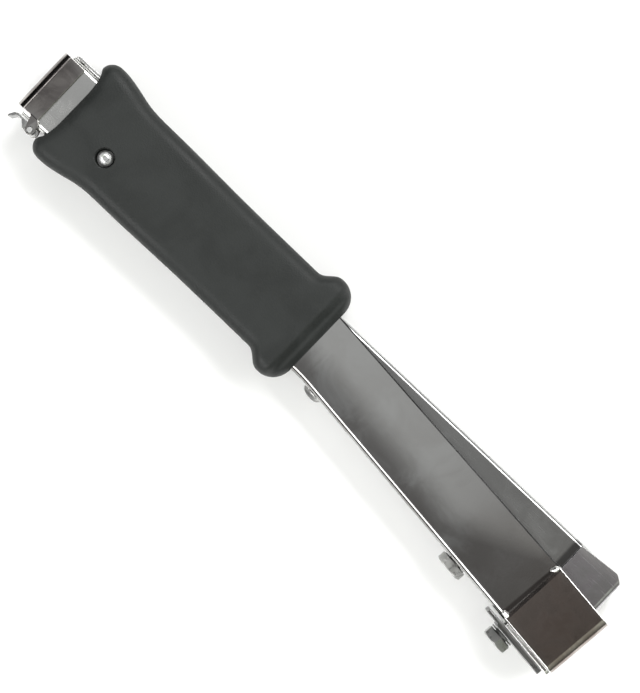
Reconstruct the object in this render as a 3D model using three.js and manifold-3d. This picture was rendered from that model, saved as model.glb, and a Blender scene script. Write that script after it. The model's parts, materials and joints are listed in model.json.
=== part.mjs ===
// Hammer tacker, lying on its side. Millimetres and degrees.
// X runs from the butt to the head, Y is the way the tool strikes, Z is its width.
// The pieces are drawn with the butt at X = 0 and the middle of the width at Z = 0.
// The last lines stand the whole tool on Z = 0.

import * as THREE from 'three';
import { mergeVertices } from 'three/addons/utils/BufferGeometryUtils.js';
import Module from 'manifold-3d';

const wasm = await Module();
wasm.setup();

// ---- driving dimensions ----

const GAP = 0.3;
const ROUND = 16;

// The hinge of the magazine, inside the rear of the grip.
const PIVOT = { x: 42, y: -4.9 };
const MAGAZINE_TILT = 0.6;
const SWING = 2.75;
const PIN_RADIUS = 2.5;
const PIN_HOLE = PIN_RADIUS + GAP;

// Frame channel: folded sheet with its web on the back of the tool.
const FRAME_HALF = 9;
const FRAME_SHEET = 1.5;
const FRAME_BEND = 2.4;
const FRAME_REAR = 26;
const WEB_Y = -14.35;
const KINK_X = 162;
const HEAD_TILT = -5.95;
const WEB_END = { x: 291, y: -27.8 };
const MOUTH_Y = 15;
const MOUTH_END = { x: 291.8, y: 3.55 };
const GRIP_FRONT = 156.2;
const STOP_HOLE = 4.2;
const RIVET_SHANK = 2;
const RIVET_HOLE = RIVET_SHANK + GAP;

// Head, in its own directions: along the web, and away from the web towards the strike.
const COVER_HALF = 11.5;
const COVER_SHEET = 2;
const COVER_BEND = 4;
const COVER_FRONT = 28.3;
const COVER_DEPTH = 31.2;
const PLATE_TOP = 0.3;
const PLATE_SHEET = 1.6;
const BLOCK_CORNER = 1.8;
const BLOCK_STRIKE = 12;
const BOLT_RADIUS = 3.175;
const BOLT_FLATS = 11.1;
const BOLT_HEAD = 4.2;
const BOLT_HOLE = BOLT_RADIUS + 0.4;
const HEAD_BOLT_AT = 4;
const STOP_BOLT_AT = -31.2;
const RIVET_AT = -122.2;

// Magazine, in its own directions from the pivot: along the track, and towards the strike.
const FLOOR = 19.15;
const MAGAZINE_HALF = 6.8;
const MAGAZINE_SHEET = 1;
const MAGAZINE_REAR = -32;
const MAGAZINE_FRONT = 265.3;
const WALL_TOP = 1.15;
const CORE_HALF = 4;
const CORE_TOP = 10.95;
const ROD_Y = 6.55;
const ROD_RADIUS = 1.1;
const SPRING_RADIUS = 2.2;
const NOSE_HALF = 8.4;
const NOSE_REAR = 250.3;
const NOSE_FRONT = 272.9;
const TAIL_HALF = 8.3;
const TAIL_REAR = -38;
const HEEL_RIVET_AT = -34.6;
const TAIL_FRONT = -18;
const TAIL_BACK = -10.1;
const TAIL_STRIKE = 21.9;
const CAP_HALF = 9.8;
const CAP_REAR = -42;
const CAP_BACK = -8;
const CAP_STRIKE = 20.6;
const CAP_LEG = 11.3;
const SHEET = 1.2;
const LATCH_PIN = { x: -30.7, y: -12.6 };
const LATCH_PIN_RADIUS = 1.2;
const LATCH_EAR = 2.2;
const LATCH_HALF = 6.5;
const BARREL = { radius: 2.1, half: 5.5 };

// Grip.
const GRIP_HALF = 15;
const GRIP_MIDDLE = 1.23;
const GRIP_EDGE = 5;
const GRIP_SIDE = { rear: 18.5, front: 146 };
const RIM_HALF = 12.4;
const GRIP_BORE = 4.15;
const TUNNEL_STRIKE = 16.3;

// ---- directions of the three tilted parts of the tool ----

const turnedFrame = (x, y, degrees) => new THREE.Matrix4()
  .makeTranslation(x, y, 0)
  .multiply(new THREE.Matrix4().makeRotationZ(THREE.MathUtils.degToRad(degrees)));

const HEAD = turnedFrame(WEB_END.x, WEB_END.y, HEAD_TILT);
const MAGAZINE = turnedFrame(PIVOT.x, PIVOT.y, MAGAZINE_TILT);
const STRUCK = turnedFrame(PIVOT.x, PIVOT.y, MAGAZINE_TILT - SWING);

// ---- solids from three.js geometry ----

function solid(geometry) {
  geometry.deleteAttribute('normal');
  geometry.deleteAttribute('uv');
  const merged = mergeVertices(geometry, 1e-4);
  return new wasm.Manifold(new wasm.Mesh({
    numProp: 3,
    vertProperties: new Float32Array(merged.attributes.position.array),
    triVerts: new Uint32Array(merged.index.array),
  }));
}

const outline = (points) => new THREE.Shape(points.map(([x, y]) => new THREE.Vector2(x, y)));

const extruded = (shape, depth) => new THREE.ExtrudeGeometry(
  shape, { depth, bevelEnabled: false, curveSegments: 5 },
);

// A flat piece whose outline lies in X and Y, between two heights in Z.
function plate(points, low, high, frame) {
  const shape = Array.isArray(points) ? outline(points) : points;
  const geometry = extruded(shape, high - low).translate(0, 0, low);
  return solid(frame ? geometry.applyMatrix4(frame) : geometry);
}

const rectangle = (x0, y0, x1, y1) => [[x0, y0], [x1, y0], [x1, y1], [x0, y1]];

const block = (x0, y0, x1, y1, half, frame) => plate(
  rectangle(x0, y0, x1, y1), -half, half, frame,
);

// The same as a plate, with all its long edges rounded.
function roundedPlate(points, half, radius, segments) {
  const geometry = new THREE.ExtrudeGeometry(outline(points), {
    depth: 2 * (half - radius),
    bevelThickness: radius,
    bevelSize: radius,
    bevelOffset: -radius,
    bevelSegments: segments,
  });
  return solid(geometry.translate(0, 0, radius - half));
}

// A section across X, drawn as [z, y], pulled along X.
function alongX(shape, low, high, frame) {
  const geometry = extruded(shape, high - low);
  geometry.rotateY(Math.PI / 2).translate(low, 0, 0);
  return solid(geometry.applyMatrix4(frame));
}

// A section across Y, drawn as [x, z], pulled along Y.
function alongY(shape, low, high, frame) {
  const geometry = extruded(shape, high - low);
  geometry.rotateX(-Math.PI / 2).translate(0, low, 0);
  return solid(geometry.applyMatrix4(frame));
}

// A turned piece, drawn as [radius, distance along its axis], standing at x, y.
function turned(points, x, y, axis, frame, segments = ROUND) {
  const profile = points.map(([radius, along]) => new THREE.Vector2(radius, along));
  const geometry = new THREE.LatheGeometry(profile, segments);
  if (axis === 'z') geometry.rotateX(Math.PI / 2);
  if (axis === 'x') geometry.rotateZ(-Math.PI / 2);
  geometry.translate(x, y, 0);
  return solid(frame ? geometry.applyMatrix4(frame) : geometry);
}

const disc = (radius, low, high) => [[0, low], [radius, low], [radius, high], [0, high]];

const ring = (inner, outer, low, high) => [
  [inner, low], [outer, low], [outer, high], [inner, high], [inner, low],
];

// Folded sheet: the web lies along the first coordinate, the two legs go up the second.
function foldedSheet(half, depth, sheet, bend) {
  const shape = new THREE.Shape();
  const inner = bend - sheet;
  shape.moveTo(-half, depth);
  shape.lineTo(-half, bend);
  shape.absarc(-half + bend, bend, bend, Math.PI, 1.5 * Math.PI, false);
  shape.absarc(half - bend, bend, bend, 1.5 * Math.PI, 2 * Math.PI, false);
  shape.lineTo(half, depth);
  shape.lineTo(half - sheet, depth);
  shape.absarc(half - bend, bend, inner, 2 * Math.PI, 1.5 * Math.PI, true);
  shape.absarc(-half + bend, bend, inner, 1.5 * Math.PI, Math.PI, true);
  shape.lineTo(-half + sheet, depth);
  return shape;
}

// The same fold with its legs along the first coordinate, forwards or rearwards.
function sidewaysFold(half, depth, sheet, bend, direction, at) {
  const points = foldedSheet(half, depth, sheet, bend).getPoints(5);
  return new THREE.Shape(points.map(
    (point) => new THREE.Vector2(at + direction * point.y, direction * -point.x),
  ));
}

function roundedRectangle(half, low, high, radius) {
  const shape = new THREE.Path();
  shape.moveTo(half, low + radius);
  shape.absarc(half - radius, high - radius, radius, 0, Math.PI / 2, false);
  shape.absarc(-half + radius, high - radius, radius, Math.PI / 2, Math.PI, false);
  shape.absarc(-half + radius, low + radius, radius, Math.PI, 1.5 * Math.PI, false);
  shape.absarc(half - radius, low + radius, radius, 1.5 * Math.PI, 2 * Math.PI, false);
  return shape;
}

// Hexagon head with the usual turned chamfer on top, and its shank, along Y of the head.
function hexBolt(at, seat, tip, turn) {
  const corner = BOLT_FLATS / Math.sqrt(3);
  const top = seat - BOLT_HEAD;
  const hexagon = new THREE.CylinderGeometry(corner, corner, BOLT_HEAD, 6);
  hexagon.rotateY(THREE.MathUtils.degToRad(turn)).translate(at, seat - BOLT_HEAD / 2, 0);
  const chamfer = turned([
    [0, top - 0.1], [BOLT_FLATS / 2 - 0.3, top - 0.1], [corner + 0.5, top + 1.1],
    [corner + 0.5, seat + 1], [0, seat + 1],
  ], at, 0, 'y', HEAD, 24);
  const shank = turned(disc(BOLT_RADIUS, seat - 1, tip), at, 0, 'y', HEAD);
  return solid(hexagon.applyMatrix4(HEAD)).intersect(chamfer).add(shank);
}

// ---- root body: frame, grip and head ----

const webAt = (x) => WEB_Y + (x - KINK_X) * (WEB_END.y - WEB_Y) / (WEB_END.x - KINK_X);
const mouthAt = (x) => MOUTH_Y
  + (x - GRIP_FRONT) * (MOUTH_END.y - MOUTH_Y) / (MOUTH_END.x - GRIP_FRONT);

function frameChannel() {
  const past = 12;
  const far = MOUTH_Y + past;
  const wide = (offset, ends) => [
    [FRAME_REAR - ends, WEB_Y + offset], [KINK_X, WEB_Y + offset],
    [WEB_END.x + ends, webAt(WEB_END.x + ends) + offset],
    [WEB_END.x + ends, far + offset], [FRAME_REAR - ends, far + offset],
  ];
  const skin = roundedPlate(wide(0, past), FRAME_HALF, FRAME_BEND, 3);
  const hollow = roundedPlate(
    wide(FRAME_SHEET, past + 3), FRAME_HALF - FRAME_SHEET, FRAME_BEND - FRAME_SHEET, 3,
  );
  const sides = plate([
    [FRAME_REAR, WEB_Y - 5], [KINK_X, WEB_Y - 5], [WEB_END.x - 1, webAt(WEB_END.x) - 5],
    [WEB_END.x - 1, webAt(WEB_END.x)], [MOUTH_END.x, MOUTH_END.y],
    [GRIP_FRONT, MOUTH_Y], [FRAME_REAR + 4, MOUTH_Y], [FRAME_REAR, MOUTH_Y - 4],
  ], -FRAME_HALF - 1, FRAME_HALF + 1);
  return skin.subtract(hollow).intersect(sides)
    .subtract(turned(disc(PIN_HOLE, -20, 20), PIVOT.x, PIVOT.y, 'z'))
    .subtract(turned(disc(STOP_HOLE, -6, 6), STOP_BOLT_AT, 0, 'y', HEAD))
    .subtract(turned(disc(RIVET_HOLE, -6, 6), RIVET_AT, 0, 'y', HEAD));
}

// One side of the grip's outline, from the butt to the collar, as distance from its middle.
function gripSide() {
  const side = new THREE.Path();
  side.moveTo(15, 15.5);
  side.bezierCurveTo(15, 21.5, 17.2, 25.4, 21.6, 25.4);
  side.bezierCurveTo(27, 25.4, 33, 21.5, 48, 21.4);
  side.lineTo(136.5, 20.6);
  side.bezierCurveTo(142, 20.8, 140.5, 25.6, 146.8, 25.6);
  side.bezierCurveTo(152, 25.6, 155.2, 22.4, GRIP_FRONT, 16.5);
  return side.getPoints(7);
}

function grip() {
  const side = gripSide();
  const points = [
    ...side.map((point) => [point.x, GRIP_MIDDLE - point.y]),
    ...side.reverse().map((point) => [point.x, GRIP_MIDDLE + point.y]),
  ];
  const body = roundedPlate(points, GRIP_HALF, GRIP_EDGE, 3);
  const outside = GRIP_HALF + 1;
  const past = GRIP_FRONT + 1;
  const ends = new THREE.Shape();
  ends.moveTo(14, -11);
  ends.lineTo(GRIP_SIDE.rear, -outside);
  ends.lineTo(GRIP_SIDE.front, -outside);
  ends.quadraticCurveTo(GRIP_SIDE.front + 3, -RIM_HALF, past, -RIM_HALF);
  ends.lineTo(past, RIM_HALF);
  ends.quadraticCurveTo(GRIP_SIDE.front + 3, RIM_HALF, GRIP_SIDE.front, outside);
  ends.lineTo(GRIP_SIDE.rear, outside);
  ends.lineTo(14, 11);
  const plan = solid(extruded(ends, 80).rotateX(-Math.PI / 2).translate(0, -40, 0));
  const tunnel = block(20, WEB_Y - GAP, past, TUNNEL_STRIKE, FRAME_HALF + GAP);
  const tailPocket = block(13, -17, FRAME_REAR - 0.5, 20.4, CAP_HALF - 0.4);
  const pinBore = turned(disc(GRIP_BORE, -20, 20), PIVOT.x, PIVOT.y, 'z', null, 20);
  return body.intersect(plan).subtract(tunnel).subtract(tailPocket).subtract(pinBore);
}

function headCover() {
  const fold = sidewaysFold(COVER_HALF, 34, COVER_SHEET, COVER_BEND, -1, COVER_FRONT);
  const trim = plate([
    [-1.9, 0], [40, 0], [40, COVER_DEPTH + 1], [-3, COVER_DEPTH + 1],
  ], -20, 20, HEAD);
  return alongY(fold, PLATE_TOP + GAP, COVER_DEPTH, HEAD).intersect(trim);
}

const BLADE = { rear: 266.1, front: 267.3, top: -9, half: 5.1 };
const DOWEL = { rear: 260.5, front: 275, y: -6, radius: 1.5 };
const dowelHole = () => turned(
  disc(DOWEL.radius + GAP, DOWEL.rear - GAP, 285), 0, DOWEL.y, 'x', STRUCK,
);

function hammerBlock() {
  const front = COVER_FRONT - COVER_SHEET - 0.4;
  const half = COVER_HALF - COVER_SHEET - 0.4;
  const slot = block(
    BLADE.rear - GAP, BLADE.top - GAP, BLADE.front + GAP, 20, BLADE.half + GAP, STRUCK,
  );
  const section = outline([
    [0.5, -half], [front - BLOCK_CORNER, -half], [front, BLOCK_CORNER - half],
    [front, half - BLOCK_CORNER], [front - BLOCK_CORNER, half], [0.5, half],
  ]);
  return alongY(section, PLATE_TOP + GAP, BLOCK_STRIKE, HEAD)
    .subtract(slot)
    .subtract(turned(disc(BOLT_HOLE, -2, 9.6), HEAD_BOLT_AT, 0, 'y', HEAD))
    .subtract(dowelHole());
}

function driverBlade() {
  return block(BLADE.rear, BLADE.top, BLADE.front, FLOOR - 0.2, BLADE.half, STRUCK)
    .subtract(dowelHole());
}

const driverPin = () => turned(
  disc(DOWEL.radius, DOWEL.rear, DOWEL.front), 0, DOWEL.y, 'x', STRUCK,
);

function backPlate() {
  const half = COVER_HALF - 0.7;
  return block(-0.5, PLATE_TOP - PLATE_SHEET, COVER_FRONT - 0.4, PLATE_TOP, half, HEAD)
    .subtract(turned(disc(BOLT_HOLE, -5, 5), HEAD_BOLT_AT, 0, 'y', HEAD));
}

function clampPlate() {
  const seat = PLATE_TOP - PLATE_SHEET - GAP;
  return plate([
    [-8, seat], [-8, seat - 1.7], [-1.6, seat - 1.7], [-1, seat - 2.6],
    [24.9, seat - 2.6], [24.9, seat],
  ], -8, 8, HEAD)
    .subtract(turned(disc(BOLT_HOLE, -9, 5), HEAD_BOLT_AT, 0, 'y', HEAD));
}

function lockWasher() {
  const slit = plate(rectangle(HEAD_BOLT_AT - 0.5, -6, HEAD_BOLT_AT + 0.5, -4), 0, 7, HEAD);
  return turned(ring(BOLT_HOLE, 5.7, -5.3, -4.5), HEAD_BOLT_AT, 0, 'y', HEAD).subtract(slit);
}

function pivotPin() {
  const seat = FRAME_HALF + GAP;
  const radius = PIN_RADIUS + 0.9;
  const dimple = new THREE.SphereGeometry(1.6, ROUND, 8).translate(PIVOT.x, PIVOT.y, 13);
  return turned([
    [0, -11.5], [PIN_RADIUS, -11.5], [PIN_RADIUS, seat], [radius, seat], [radius, 11],
    [2.6, 11.9], [0, 12.1],
  ], PIVOT.x, PIVOT.y, 'z').subtract(solid(dimple));
}

const pivotCollar = () => turned(
  ring(PIN_HOLE, 3.8, -11.3, -FRAME_HALF - GAP), PIVOT.x, PIVOT.y, 'z',
);

// Bent strip of spring steel: flat under the web, then down to the magazine's walls.
function returnLeaf() {
  const back = FRAME_SHEET + GAP + 0.05;
  const thick = 0.9;
  const curve = new THREE.Path();
  curve.moveTo(163.5, webAt(163.5) + back);
  curve.lineTo(180, webAt(180) + back);
  curve.quadraticCurveTo(204, webAt(204) + back + 0.5, 224, -3.5);
  curve.quadraticCurveTo(226.5, -2.5, 229, -3.9);
  const points = curve.getPoints(6).map((point) => [point.x, point.y]);
  const under = points.map(([x, y]) => [x, y + thick]).reverse();
  return plate([...points, ...under], -6.4, 6.4)
    .subtract(turned(disc(RIVET_HOLE, -1, 6), RIVET_AT, 0, 'y', HEAD));
}

const leafRivet = () => turned([
  [0, -2.5], [2.4, -2.3], [4, -1.5], [4.7, -GAP], [RIVET_SHANK, -GAP], [RIVET_SHANK, 3],
  [3.4, 3], [2.6, 4.3], [0, 4.5],
], RIVET_AT, 0, 'y', HEAD, 20);

// ---- magazine body ----

function magazineChannel() {
  const fold = foldedSheet(MAGAZINE_HALF, 34, MAGAZINE_SHEET, 1.7).getPoints(4);
  const section = new THREE.Shape(
    fold.map((point) => new THREE.Vector2(-point.x, FLOOR - point.y)),
  );
  const trim = plate([
    [MAGAZINE_REAR, FLOOR + 1], [MAGAZINE_REAR, WALL_TOP], [-15, WALL_TOP], [-11, -4.5],
    [11, -4.5], [15, WALL_TOP], [MAGAZINE_FRONT, WALL_TOP], [MAGAZINE_FRONT, FLOOR + 1],
  ], -20, 20, MAGAZINE);
  return alongX(section, MAGAZINE_REAR - 1, MAGAZINE_FRONT + 1, MAGAZINE).intersect(trim)
    .subtract(turned(disc(PIN_HOLE, -20, 20), 0, 0, 'z', MAGAZINE));
}

const coreRail = () => alongX(
  new THREE.Shape(foldedSheet(CORE_HALF, 6.8, MAGAZINE_SHEET, 1.4).getPoints(3)
    .map((point) => new THREE.Vector2(point.x, CORE_TOP + point.y))),
  MAGAZINE_REAR + 2, MAGAZINE_FRONT, MAGAZINE,
);

function tailBracket() {
  const shape = new THREE.Shape(
    roundedRectangle(TAIL_HALF, TAIL_BACK, TAIL_STRIKE, 2.5).getPoints(4),
  );
  shape.holes.push(
    roundedRectangle(TAIL_HALF - SHEET, TAIL_BACK + SHEET, TAIL_STRIKE - SHEET, 1.3),
  );
  return alongX(shape, TAIL_REAR, TAIL_FRONT, MAGAZINE)
    .subtract(block(-36.6, TAIL_BACK - 1, -33.4, TAIL_BACK + 2, 4.4, MAGAZINE))
    .subtract(turned(disc(1.7, 19, 23), HEEL_RIVET_AT, 0, 'y', MAGAZINE));
}

function heelStrip() {
  const seat = TAIL_STRIKE + GAP;
  return plate([
    [-23.8, seat], [-23.8, seat + 1.4], [-36.4, seat + 1.4], [-37.8, seat],
  ], -7, 7, MAGAZINE).subtract(turned(disc(1.7, 19, 26), HEEL_RIVET_AT, 0, 'y', MAGAZINE));
}

const heelRivet = () => turned([
  [0, 18.7], [2.2, 18.9], [2.2, 20.4], [1.4, 20.4], [1.4, 23.5], [0, 23.5],
], HEEL_RIVET_AT, 0, 'y', MAGAZINE);

function noseShell() {
  const fold = sidewaysFold(NOSE_HALF, 40, SHEET, 2.3, -1, NOSE_FRONT);
  const trim = plate([
    [NOSE_REAR, 0.3], [NOSE_FRONT + 1, 0.3], [NOSE_FRONT + 1, 17.2], [268.8, 20.1],
    [253.2, 18.65], [NOSE_REAR, 18.3],
  ], -20, 20, MAGAZINE);
  return alongY(fold, -2, 24, MAGAZINE).intersect(trim);
}

const noseGuide = () => block(268.4, 1, 270.4, 18.6, 6.9, MAGAZINE);

function stopBridge() {
  const seat = WALL_TOP - GAP;
  return block(211, seat - 2.4, 229, seat, MAGAZINE_HALF, MAGAZINE)
    .subtract(turned(disc(BOLT_HOLE, 15, 30), STOP_BOLT_AT, 0, 'y', HEAD));
}

const pivotBush = () => turned(ring(PIN_HOLE, 3.5, -5.5, 5.5), 0, 0, 'z', MAGAZINE);

// ---- feeder body ----

const roundLatchPin = (points, segments = ROUND) => turned(
  points, LATCH_PIN.x, LATCH_PIN.y, 'z', MAGAZINE, segments,
);

const latchPinHole = () => roundLatchPin(disc(LATCH_PIN_RADIUS + GAP, -20, 20));

function feedCap() {
  const fold = sidewaysFold(CAP_HALF, CAP_LEG, SHEET, COVER_BEND, 1, CAP_REAR);
  const ear = roundLatchPin(disc(LATCH_EAR, -20, 20));
  const root = CAP_BACK + 0.1;
  const cheek = plate([
    [LATCH_PIN.x - 4.5, root], [LATCH_PIN.x - LATCH_EAR, LATCH_PIN.y],
    [LATCH_PIN.x + LATCH_EAR, LATCH_PIN.y], [LATCH_PIN.x, root], [LATCH_PIN.x, 0],
    [LATCH_PIN.x - 4.5, 0],
  ], -20, 20, MAGAZINE);
  const between = block(-60, -30, 20, 0, CAP_HALF - SHEET, MAGAZINE);
  const within = block(-60, -30, 20, 30, CAP_HALF, MAGAZINE);
  const ears = ear.add(cheek).intersect(within).subtract(between);
  return alongY(fold, CAP_BACK, CAP_STRIKE, MAGAZINE).add(ears).subtract(latchPinHole());
}

const roundRod = (points) => turned(points, 0, ROD_Y, 'x', MAGAZINE, 12);

const rodBlock = () => block(CAP_REAR + SHEET + GAP, 2.5, -33.5, 11.5, 6.3, MAGAZINE)
  .subtract(roundRod(disc(ROD_RADIUS + GAP, -40, 0)));

const feedRod = () => roundRod(disc(ROD_RADIUS, -39.8, 260));

const rodTip = () => roundRod(disc(SPRING_RADIUS, 260.3, 262.8));

const feedSpring = () => roundRod(ring(ROD_RADIUS + 0.4, SPRING_RADIUS, -33, 245.5));

const latchPin = () => roundLatchPin(disc(LATCH_PIN_RADIUS, -10.2, 10.2), 12);

// ---- pusher body ----

function pusher() {
  const inner = CORE_HALF + GAP;
  const outer = inner + 1.1;
  const saddle = block(246, 9.3, MAGAZINE_FRONT - 1, 17.7, outer, MAGAZINE)
    .subtract(block(240, CORE_TOP - GAP, MAGAZINE_FRONT + 1, 20, inner, MAGAZINE));
  const lug = block(246, 4, 258.5, 9.6, 3, MAGAZINE);
  return saddle.add(lug).subtract(roundRod(disc(ROD_RADIUS + GAP, 230, 270)));
}

// ---- latch body ----

function latchLever() {
  const barrel = roundLatchPin(disc(BARREL.radius, -BARREL.half, BARREL.half));
  const arm = plate([
    [LATCH_PIN.x, -10.6], [-39.6, -10.6], [-41.2, -12.6], [-42, -14.2], [-41, -14.7],
    [-39.4, -12.4], [-38.6, -11.8], [-36.5, -11.8], [-33.8, -14.5], [-32.6, -14.5],
    [-32.6, -11.8], [LATCH_PIN.x, -11.8],
  ], -LATCH_HALF, LATCH_HALF, MAGAZINE);
  const knuckle = rectangle(LATCH_PIN.x - 2.6, -20, LATCH_PIN.x + 4, -5);
  const above = plate(knuckle, BARREL.half, LATCH_HALF + 1, MAGAZINE);
  const below = plate(knuckle, -LATCH_HALF - 1, -BARREL.half, MAGAZINE);
  return arm.subtract(above).subtract(below).add(barrel).subtract(latchPinHole());
}

const latchSpring = () => roundLatchPin(ring(LATCH_PIN_RADIUS + GAP, 2, 5.8, 8.3), 12);

// ---- finishes and assembly ----

const NICKEL = { color: 0x7d7e7d, roughness: 0.28, metalness: 0.95 };
const DARK_NICKEL = { color: 0x6a5a52, roughness: 0.22, metalness: 0.95 };
const STEEL = { color: 0x8d8f90, roughness: 0.4, metalness: 0.9 };
const SPRING_STEEL = { color: 0x5d6066, roughness: 0.35, metalness: 0.9 };
const RUBBER = { color: 0x3a3d3c, roughness: 0.75, metalness: 0 };

const pieces = [
  ['frame_channel', frameChannel, NICKEL],
  ['grip', grip, RUBBER],
  ['head_cover', headCover, DARK_NICKEL],
  ['hammer_block', hammerBlock, STEEL],
  ['driver_blade', driverBlade, SPRING_STEEL],
  ['driver_pin', driverPin, STEEL],
  ['back_plate', backPlate, NICKEL],
  ['clamp_plate', clampPlate, NICKEL],
  ['lock_washer', lockWasher, STEEL],
  ['head_bolt', () => hexBolt(HEAD_BOLT_AT, -5.6, 9.2, 0), STEEL],
  ['pivot_pin', pivotPin, STEEL],
  ['pivot_collar', pivotCollar, STEEL],
  ['return_leaf', returnLeaf, SPRING_STEEL],
  ['leaf_rivet', leafRivet, STEEL],
  ['magazine_channel', magazineChannel, NICKEL],
  ['core_rail', coreRail, NICKEL],
  ['tail_bracket', tailBracket, NICKEL],
  ['heel_strip', heelStrip, NICKEL],
  ['heel_rivet', heelRivet, STEEL],
  ['nose_shell', noseShell, NICKEL],
  ['nose_guide', noseGuide, STEEL],
  ['stop_bridge', stopBridge, STEEL],
  ['stop_bolt', () => hexBolt(STOP_BOLT_AT, -GAP, 23.8, 30), STEEL],
  ['pivot_bush', pivotBush, STEEL],
  ['feed_cap', feedCap, NICKEL],
  ['rod_block', rodBlock, STEEL],
  ['feed_rod', feedRod, STEEL],
  ['rod_tip', rodTip, STEEL],
  ['feed_spring', feedSpring, SPRING_STEEL],
  ['latch_pin', latchPin, STEEL],
  ['pusher', pusher, STEEL],
  ['latch_lever', latchLever, NICKEL],
  ['latch_spring', latchSpring, SPRING_STEEL],
];

const tool = new THREE.Group();
for (const [name, make, finish] of pieces) {
  const { vertProperties, triVerts } = make().getMesh();
  const geometry = new THREE.BufferGeometry();
  geometry.setAttribute('position', new THREE.BufferAttribute(vertProperties, 3));
  geometry.setIndex(new THREE.BufferAttribute(triVerts, 1));
  const mesh = new THREE.Mesh(geometry, new THREE.MeshStandardMaterial(finish));
  mesh.name = name;
  tool.add(mesh);
}

// The origin is under the middle of the tool, on the surface that it lies on.
const bounds = new THREE.Box3().setFromObject(tool);
const middle = bounds.getCenter(new THREE.Vector3());
tool.position.set(-middle.x, -middle.y, -bounds.min.z);

export default tool;
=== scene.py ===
import json
from math import cos, pi, radians, sin, tan

import bmesh
import bpy
from mathutils import Matrix, Vector


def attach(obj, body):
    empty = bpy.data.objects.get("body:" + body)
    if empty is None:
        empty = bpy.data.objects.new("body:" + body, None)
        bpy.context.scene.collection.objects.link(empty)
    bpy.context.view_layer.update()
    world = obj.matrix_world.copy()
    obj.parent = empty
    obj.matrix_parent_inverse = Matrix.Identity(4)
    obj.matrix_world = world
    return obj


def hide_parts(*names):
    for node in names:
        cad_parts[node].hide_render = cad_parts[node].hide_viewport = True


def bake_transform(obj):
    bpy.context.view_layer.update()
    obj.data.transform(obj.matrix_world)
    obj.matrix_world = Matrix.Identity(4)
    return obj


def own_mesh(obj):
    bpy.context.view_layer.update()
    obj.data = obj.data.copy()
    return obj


# Hammer tacker, lying on its side: rubber grip, folded and plated steel frame with a
# weighted head, and the hinged staple magazine with its feeder, pusher and latch.
# The file follows the tool as it is put together. Sizes in the sections are millimetres.

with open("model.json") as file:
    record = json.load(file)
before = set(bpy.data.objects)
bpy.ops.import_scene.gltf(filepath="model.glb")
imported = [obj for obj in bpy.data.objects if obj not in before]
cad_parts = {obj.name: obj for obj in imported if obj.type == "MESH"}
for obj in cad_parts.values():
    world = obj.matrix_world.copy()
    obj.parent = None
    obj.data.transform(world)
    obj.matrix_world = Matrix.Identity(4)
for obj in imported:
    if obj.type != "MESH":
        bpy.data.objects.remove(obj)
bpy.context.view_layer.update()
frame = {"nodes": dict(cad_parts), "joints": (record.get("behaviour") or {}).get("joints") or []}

# ---------------------------------------------------------------- studio and camera
# A white sheet on the bench, a soft box on each side and a dim ceiling over the tool.
# The bright boxes show in the folded edges, and the ceiling shows in the flat sides.

joint = {j["name"]: j for j in frame["joints"]}
pivot = Vector(joint["magazine_swing"]["pos_m"])
MM = 0.001


def drawn_from(origin, turn):
    """Millimetres drawn from a point of the tool, turned about Z, to the row's metres."""
    return Matrix.Translation(origin) @ Matrix.Rotation(turn, 4, "Z") @ Matrix.Scale(MM, 4)


PIVOT_FROM_BUTT = Vector((42, -4.9, 0))
TOOL = drawn_from(pivot - PIVOT_FROM_BUTT * MM, 0)


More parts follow.
